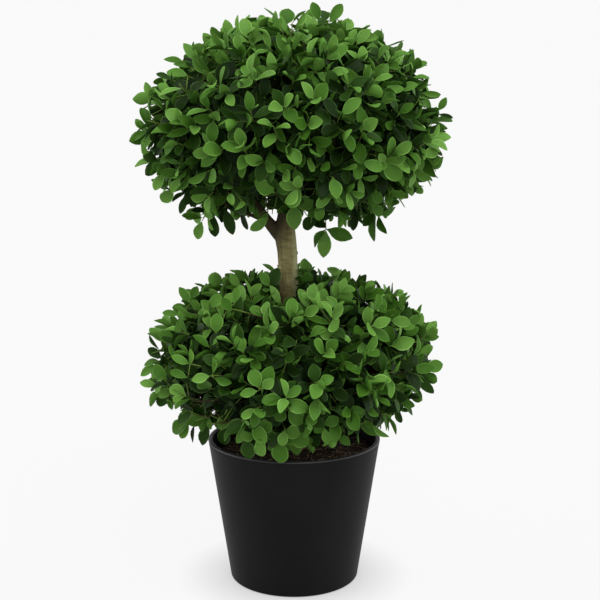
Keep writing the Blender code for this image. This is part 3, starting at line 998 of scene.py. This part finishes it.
class Leaves:
    # leaves of one green, gathered and then made as one mesh
    def __init__(self, kind):
        self.kind = kind
        self.rows = []

    def add(self, *row):
        self.rows.append(row)

    def make(self, name, finishes, rng, **facts):
        kind = self.kind
        count = len(self.rows)
        root, along, face, length, ratio = (np.array(column) for column in zip(*self.rows))
        blunt = rng.uniform(*kind["tipShape"], count)
        cup = rng.uniform(*kind["cup"], count)
        bend = rng.uniform(*kind["bend"], count)
        bend[abs(bend) < 0.02] = 0.02
        twist = rng.uniform(-kind["twist"], kind["twist"], count)
        side = np.cross(along, face)
        side /= np.linalg.norm(side, axis=1, keepdims=True)
        face = np.cross(side, along)
        stations = np.array(kind["stations"])[1:-1]
        across = np.array(kind["across"])
        share = np.clip((stations - kind["stalk"]) / (1.0 - kind["stalk"]), 0.0, 1.0)[None, :]
        wide = share ** kind["rootShape"] * (1.0 - share) ** blunt[:, None]
        peak = kind["rootShape"] / (kind["rootShape"] + blunt)
        wide /= (peak ** kind["rootShape"] * (1.0 - peak) ** blunt)[:, None]
        half = np.maximum(wide * (ratio * length / 2)[:, None], 0.0007)
        x = half[:, :, None] * across[None, None, :]
        turn = bend[:, None] * stations[None, :]
        y = length[:, None] * np.sin(turn) / bend[:, None]
        z = -length[:, None] * (1.0 - np.cos(turn)) / bend[:, None]
        hollow = cup[:, None, None] * length[:, None, None] * (wide[:, :, None] * across[None, None, :]) ** 2
        depth = np.where(across == 0.0, kind["groove"], 0.0)
        groove = depth[None, None, :] * np.minimum(wide, 1.0)[:, :, None]
        topZ = z[:, :, None] + hollow - groove
        lowZ = topZ[:, :, 1:-1] - kind["thick"] * np.sqrt(1.0 - across ** 2)[None, None, 1:-1]
        rolled = twist[:, None] * stations[None, :]
        spin = (np.cos(rolled)[:, :, None], np.sin(rolled)[:, :, None])

        def placed(xs, zs):
            # turned about the midrib, then out into the room
            middle = z[:, :, None]
            xr = xs * spin[0] - (zs - middle) * spin[1]
            zr = middle + xs * spin[1] + (zs - middle) * spin[0]
            spots = root[:, None, None, :] + xr[..., None] * side[:, None, None, :]
            spots = spots + y[:, :, None, None] * along[:, None, None, :]
            spots = spots + zr[..., None] * face[:, None, None, :]
            return spots.reshape(count, -1, 3)

        tip = root + along * (length * np.sin(bend) / bend)[:, None]
        tip = tip - face * (length * (1.0 - np.cos(bend)) / bend)[:, None]
        sheets = (placed(x, topZ), placed(x[:, :, 1:-1], lowZ))
        points = np.concatenate([root[:, None, :], tip[:, None, :], *sheets], 1)
        faces, picks = leafFaces(len(stations), len(across))
        faces = faces[None] + np.arange(count)[:, None, None] * points.shape[1]
        picks = np.tile(picks, count) if len(finishes) > 1 else None
        rim = np.zeros(points.shape[1], bool)
        rim[:2] = True  # root and tip
        rim[2:2 + len(stations) * len(across)].reshape(len(stations), -1)[:, [0, -1]] = True
        rims = np.tile(rim, count)
        return makePiece(name, points.reshape(-1, 3), faces.reshape(-1, 3), finishes, picks, rims, **facts)


def leafFaces(rows, columns):
    # triangles of one leaf: finish 0 blade, 1 edge (painted lighter as a highlight along the rim), 2 heart
    # (the root half, painted darker as shade), 3 underside
    top = 2 + np.arange(rows * columns).reshape(rows, columns)
    low = top.copy()
    low[:, 1:-1] = 2 + rows * columns + np.arange(rows * (columns - 2)).reshape(rows, columns - 2)
    faces = []
    picks = []
    for sheet, upper in ((top, True), (low, False)):
        for j in range(columns - 1):
            edge = j in (0, columns - 2)
            for i in range(rows + 1):
                if i == 0:
                    found = [(0, sheet[0, j + 1], sheet[0, j])]
                elif i == rows:
                    found = [(1, sheet[-1, j], sheet[-1, j + 1])]
                else:
                    a, b = sheet[i - 1, j], sheet[i - 1, j + 1]
                    c, d = sheet[i, j + 1], sheet[i, j]
                    found = [(a, b, c), (a, c, d)]
                for one in found:
                    faces.append(one if upper else one[::-1])
                    pick = 3
                    if upper:
                        pick = 1 if edge else (2 if i < rows // 2 else 0)
                    picks.append(pick)
    return np.array(faces), np.array(picks)


def greenFinishes(name):
    r, g, b = greens[name]
    shades = {
        "blade": (r, g, b),
        # the edge is painted lighter than the blade, a painted highlight along the rim
        "edge": (r * 1.65 + 0.012, g * 1.45 + 0.024, b * 1.9 + 0.008),
        # the heart, the root half of the blade, is painted darker as shade
        "heart": (r * 0.90, g * 0.92, b * 0.93),
        "underside": (r * 1.05 + 0.008, g * 1.05 + 0.018, b * 1.05 + 0.004),
    }
    finishes = []
    for part, shade in shades.items():
        finish = Finish(f"{name} leaf {part}", shade, 0.60 if part == "underside" else 0.46)
        finish.set("Specular IOR Level", 0.055)
        finishes.append(finish)
    return finishes


def greenOf(ball, spot, order, tone, rng):
    # the newest and outermost leaves are the lightest: deeper leaves turn darker, partly for age and partly
    # as painted shade inside the ball, and tone is the spray's shade, painted lighter on top and darker low
    # down
    names = list(greens)
    deep = sum(insideBall(resized(ball, -depth), spot) for depth in shells)
    index = (0, 0, 1, 1, 1, 2, 2, 2)[order] + deep + tone + rng.choice((0, 0, 0, 1, -1))
    return names[max(0 if order < 3 - tone else 1, min(len(names) - 1, index))]


class Grove:
    # what has grown so far in one ball, in cells, so that a new leaf can look for room
    def __init__(self, cell, limbTree):
        self.cell = cell
        self.limbTree = limbTree
        self.cells = {}
        self.lines = []

    def key(self, point):
        return tuple(int(math.floor(c / self.cell)) for c in point)

    def near(self, point):
        x, y, z = self.key(point)
        for i in (x - 1, x, x + 1):
            for j in (y - 1, y, y + 1):
                for k in (z - 1, z, z + 1):
                    yield from self.cells.get((i, j, k), ())

    def keepOpen(self, point, radius, through):
        # a line of sight from the front view that later leaves stay off
        way = (Vector(studio["cameraPlace"]) - point).normalized()
        self.lines.append((point, way, radius, through))

    def offLines(self, point):
        for start, way, radius, through in self.lines:
            off = point - start
            ahead = off.dot(way)
            if (through or ahead > shelter["ahead"]) and (off - way * ahead).length < radius:
                return False
        return True

    def roomFor(self, sketch, middle):
        # the leaf's flat tree where it meets nothing, or else nothing
        if not self.offLines(middle):
            return None
        tree = BVHTree.FromPolygons([tuple(p) for p in sketch], [tuple(range(len(sketch)))])
        if tree.overlap(self.limbTree) or any(tree.overlap(other) for other in self.near(middle)):
            return None
        return tree

    def keep(self, point, tree):
        self.cells.setdefault(self.key(point), []).append(tree)


def leafSketch(root, along, face, length, ratio):
    # a flat six-sided leaf, narrower than the real one, to test for room
    side = along.cross(face).normalized() * (length * ratio * 0.40)
    spots = [root + along * (0.12 * length)]
    spots += [root + along * (0.42 * length) + side, root + along * (0.78 * length) + side]
    spots += [root + along * (0.97 * length)]
    spots += [root + along * (0.78 * length) - side, root + along * (0.42 * length) - side]
    return spots


def frontSpot(pixel, depth):
    # the point at this depth that the front view shows at this pixel of its 600 x 600
    focal = 600.0 * studio["lens"] / 36.0
    sine, cosine = math.sin(math.radians(studio["lookDown"])), math.cos(math.radians(studio["lookDown"]))
    x, y, z = studio["cameraPlace"]
    across, rise = (pixel[0] - 300.0) / focal, (300.0 - pixel[1]) / focal
    far = depth - y
    drop = far * (rise * cosine - sine) / (cosine + rise * sine)
    return Vector((x + across * (far * cosine - drop * sine), depth, z + drop))


def dressTwig(ball, end, ahead, count, stay, tone, grove, sheaves, rng):
    placed = 0
    roll = rng.uniform(0.0, math.tau)
    paired = rng.random() < shoot["paired"]
    opening = rng.uniform(*shoot["opening"]) - shoot["upright"] * max(0.0, ahead.z)
    for k in range(count):
        step = 2 * (k // 2) + 0.5 if paired else k
        joint = end - ahead * (shoot["firstLeaf"] + shoot["leafStep"] * step)
        youth = leaf["youth"][k] if k < len(leaf["youth"]) else 1.0
        turn = math.pi * (k % 2) + math.pi / 2 * (k // 2) if paired else shoot["turn"] * k
        for _ in range(leaf["tries"]):
            spread = math.radians(min(100.0, opening + rng.uniform(-6.0, 6.0) + 8.5 * k))
            out = acrossWay(ahead, roll + turn + rng.uniform(-0.35, 0.35))
            along = ahead * math.cos(spread) + out * math.sin(spread)
            face = ahead * math.sin(spread) - out * math.cos(spread)
            tilt = 0.95 if rng.random() < 0.34 else 0.30
            face = (face + up * 0.25 + acrossWay(along, rng.uniform(0, math.tau)) * tilt).normalized()
            if abs(face.dot(along)) > 0.9:
                continue
            length = leaf["length"] * youth * rng.uniform(0.84, 1.14)
            ratio = rng.uniform(*leaf["width"])
            sketch = leafSketch(joint, along, face, length, ratio)
            if any(insideBall(ball["core"], p) for p in sketch):
                continue
            if stay and not all(insideBall(ball["edge"], p) for p in sketch):
                continue
            if not all(clearOfPot(p) for p in sketch):
                continue
            middle = joint + along * (length * 0.55)
            tree = grove.roomFor(sketch, middle)
            if tree is None:
                continue
            grove.keep(middle, tree)
            green = greenOf(ball, middle, k, tone, rng)
            sheaves[green].add(joint, along, face, length, ratio)
            placed += 1
            break
    return placed


def dressInside(ball, stations, grove, sheaf, rng):
    # older leaves along a twig, further in, darkened as painted shade as well as for their age
    for place in shoot["innerPlaces"]:
        spot = stations[int(place * (len(stations) - 1))]
        joint = Vector(spot[:3])
        ahead = Vector(stations[-1][:3] - spot[:3]).normalized()
        for _ in range(innerLeaf["tries"]):
            along = acrossWay(ahead, rng.uniform(0.0, math.tau)) + ahead * rng.uniform(-0.4, 0.5)
            along = along.normalized()
            face = (ahead + acrossWay(along, rng.uniform(0.0, math.tau)) * 0.5).normalized()
            if abs(face.dot(along)) > 0.9:
                continue
            length = innerLeaf["length"] * rng.uniform(0.95, 1.20)
            ratio = rng.uniform(*innerLeaf["width"])
            sketch = leafSketch(joint, along, face, length, ratio)
            if not all(clearOfPot(p) and insideBall(ball["hidden"], p) for p in sketch):
                continue
            middle = joint + along * (length * 0.55)
            tree = grove.roomFor(sketch, middle)
            if tree is None:
                continue
            grove.keep(middle, tree)
            sheaf.add(joint, along, face, length, ratio)
            break


def nearestStation(stations, target):
    gaps = np.linalg.norm(stations[:, :3] - np.array(target), axis=1)
    return stations[int(np.argmin(gaps))]


def twigRoute(spots, radii):
    return np.array([(*spot, radius) for spot, radius in zip(spots, radii)])


def growDrawn(name, ball, skeleton, twigs, shoots, grove, sheaves):
    routes = []
    centre = Vector(ball["centre"])
    for spray in drawnSprays[name]:
        joint = frontSpot(spray["joint"], spray["depth"])
        start = nearestStation(skeleton, centre + (joint - centre) * 0.70)
        bend = Vector(start[:3]).lerp(joint, 0.6) + up * 0.006
        stations = smoothRoute(twigRoute((start[:3], bend, joint), shoot["twigRadii"]), 5)
        twigs.add(stations[:7], 5)
        shoots.add(stations[6:], 5)
        routes.append(stations)
        for rootPixel, tipPixel, lean, ratio, turn, green in spray["leaves"]:
            root = frontSpot(rootPixel, spray["depth"])
            tip = frontSpot(tipPixel, spray["depth"] - lean)
            along = (tip - root).normalized()
            length = (tip - root).length
            front = Vector((0.0, -1.0, 0.30))
            front = (front - along * front.dot(along)).normalized()
            turned = math.radians(turn)
            face = front * math.cos(turned) + along.cross(front) * math.sin(turned)
            if (root - joint).length > 0.0015:
                spots = (joint, joint.lerp(root, 0.5), root)
                shoots.add(twigRoute(spots, shoot["stalkRadii"]), 5)
            middle = root + along * (length * 0.55)
            sketch = leafSketch(root, along, face, length, ratio)
            grove.keep(middle, BVHTree.FromPolygons([tuple(p) for p in sketch], [tuple(range(6))]))
            grove.keepOpen(middle, shelter["width"], False)
            sheaves[green].add(root, along, face, length, ratio)
    for bare in (bareStem, bareFork):
        for pixel in bare["pixels"]:
            grove.keepOpen(frontSpot(pixel, bare["depth"]), bare["room"], False)
    for pixel in openSoil["pixels"]:
        grove.keepOpen(frontSpot(pixel, openSoil["depth"]), openSoil["room"], True)
    for pixel, depth, radius in skyGaps[name]:
        grove.keepOpen(frontSpot(pixel, depth), radius + shelter["leafHalf"], True)
    return routes


def sprayTone(ball, end, k):
    # sprays are lighter towards the top, a painted light from above, and darker low down, a painted shade,
    # and the shades lie evenly mixed
    middle = Vector(ball["centre"]).z
    height = (end.z - middle) / ball["rise"]
    lit = ball["sunny"] * max(0.0, min(1.0, (height - sunlight["from"]) / sunlight["over"]))
    low = max(0.0, (middle - end.z) / ball["drop"])
    light = ball["lightSprays"]
    even = 1.0 - ball["lightSprays"] - ball["darkSprays"]
    sunlitLightest = sunlight["sunlitLightest"] * lit
    lighter = light - (light - sunlight["light"]) * lit
    plain = (even - ball["shade"] * low) * (1.0 - lit)
    steps = np.cumsum((sunlitLightest, lighter, plain))
    return int(np.sum(k * math.sqrt(2.0) % 1.0 > steps)) - 2


def growBall(name, ball, limbTree, finishes):
    rng = random.Random(ball["seed"])
    zones = {"core": -leafZone, "edge": overhang, "hidden": -innerDepth}
    ball = {**ball, **{zone: resized(ball, extra) for zone, extra in zones.items()}}
    ball["edge"]["rise"] = ball["rise"] + topOverhang
    centre = Vector(ball["centre"])
    boughs, twigs, shoots = Tubes(), Tubes(), Tubes()
    heart = {**ball, **{part: ball[part] * 0.62 for part in ("radius", "rise", "drop")}}
    stems = np.vstack([smoothRoute(route, 6) for route in limbs.values()])
    stems = stems[[insideBall(heart, s) for s in stems]]
    skeleton = []
    for k in range(ball["boughs"]):
        direction = spiralDirection(ball, k, ball["boughs"])
        target = centre + direction * (ballReach(ball["core"], direction) - 0.012)
        start = nearestStation(stems, centre + (target - centre) * 0.45 - up * 0.03)
        sway = acrossWay(direction, rng.uniform(0, math.tau)) * 0.010
        middle = Vector(start[:3]).lerp(target, 0.5) - up * 0.012 + sway
        radius = min(0.0052, start[3] * 0.7)
        stations = smoothRoute([(*start[:3], radius), (*middle, radius * 0.75), (*target, 0.0022)], 8)
        boughs.add(stations, 8)
        skeleton.append(stations[3:])
    skeleton = np.vstack(skeleton)
    boughs.make(name + "_boughs", [finishes["branch"]], slot="bark", stands=[name + "_foliage"])
    sheaves = {green: Leaves(leaf) for green in greens}
    inner = Leaves(innerLeaf)
    grove = Grove(leaf["length"], limbTree)
    routes = growDrawn(name, ball, skeleton, twigs, shoots, grove, sheaves)
    ends = [(Vector(end), None) for end in ball["hanging"]]
    for k in range(ball["sprays"]):
        direction = spiralDirection(ball, k, ball["sprays"])
        stray = acrossWay(direction, rng.uniform(0, math.tau)) * rng.uniform(0.0, 0.05)
        direction = (direction + stray).normalized()
        depth = leaf["length"] * rng.uniform(0.05, 1.00)
        ends.append((centre + direction * (ballReach(ball, direction) - depth), direction))
    total = 0
    for k, (end, direction) in enumerate(ends):
        stay = direction is not None
        if stay:
            turnUp = shoot["lift"] * (1.0 - abs(direction.z)) - shoot["droop"] * max(0.0, -direction.z)
            sway = acrossWay(direction, rng.uniform(0, math.tau)) * 0.30
            ahead = (direction + up * turnUp + sway).normalized()
        else:
            away = (end - centre).normalized()
            ahead = (away * 0.6 - up * 0.8).normalized()
        bend = end - ahead * shoot["straight"]
        start = nearestStation(skeleton, centre + (bend - centre) * 0.72)
        stations = smoothRoute(twigRoute((start[:3], bend, end), shoot["twigRadii"]), 5)
        twigs.add(stations[:8], 5)
        shoots.add(stations[7:], 5)
        routes.append(stations)
        tone = sprayTone(ball, end, k)
        total += dressTwig(ball, end, ahead, shoot["mainLeaves"], stay, tone, grove, sheaves, rng)
        roll = rng.uniform(0.0, math.tau)
        for side in range(shoot["sideShoots"]):
            fork = end - ahead * rng.uniform(0.018, 0.044)
            away = acrossWay(ahead, roll + side * math.pi + rng.uniform(-0.5, 0.5))
            way = (ahead * 0.55 + away).normalized()
            sideEnd = fork + way * rng.uniform(*shoot["sideLength"])
            if stay and not insideBall(ball, sideEnd):
                continue
            spots = (fork, fork.lerp(sideEnd, 0.5), sideEnd)
            shoots.add(twigRoute(spots, shoot["sideRadii"]), 5)
            total += dressTwig(ball, sideEnd, way, shoot["sideLeaves"], stay, tone, grove, sheaves, rng)
    for stations in routes:
        dressInside(ball, stations, grove, inner, rng)
    twigs.make(name + "_twigs", [finishes["branch"]], slot="bark")
    shoots.make(name + "_shoots", [finishes["shoot"]], slot="foliage")
    shapes = np.random.default_rng(ball["seed"])
    facts = {"slot": "foliage", "stands": [name + "_foliage"]}
    for green, sheaf in sheaves.items():
        sheaf.make(f"{name}_{green}_leaves", finishes[green], shapes, **facts)
    inner.make(name + "_inner_leaves", [finishes["inner"]], shapes, **facts)
    print(name, "ball grown with", total, "leaves and", len(inner.rows), "inner leaves")


def makeFoliage():
    finishes = {green: greenFinishes(green) for green in greens}
    finishes["inner"] = Finish("inner leaf", innerGreen, 0.6)
    finishes["branch"] = Finish("brown twig", twigBrown, 0.8)
    finishes["shoot"] = Finish("green shoot", shootGreen, 0.55)
    for finish in (finishes["inner"], finishes["branch"], finishes["shoot"]):
        finish.set("Specular IOR Level", 0.03)
    tubes = Tubes()
    for route in limbs.values():
        stations = smoothRoute(route, 3)
        stations[:, 3] += 0.0015
        tubes.add(stations, 10)
    limbTree = BVHTree.FromPolygons(np.vstack(tubes.points).tolist(), np.vstack(tubes.faces).tolist())
    for name, ball in balls.items():
        growBall(name, ball, limbTree, finishes)


makeStudio()
makePot()
makeSoil()
makeBark()
makeFoliage()
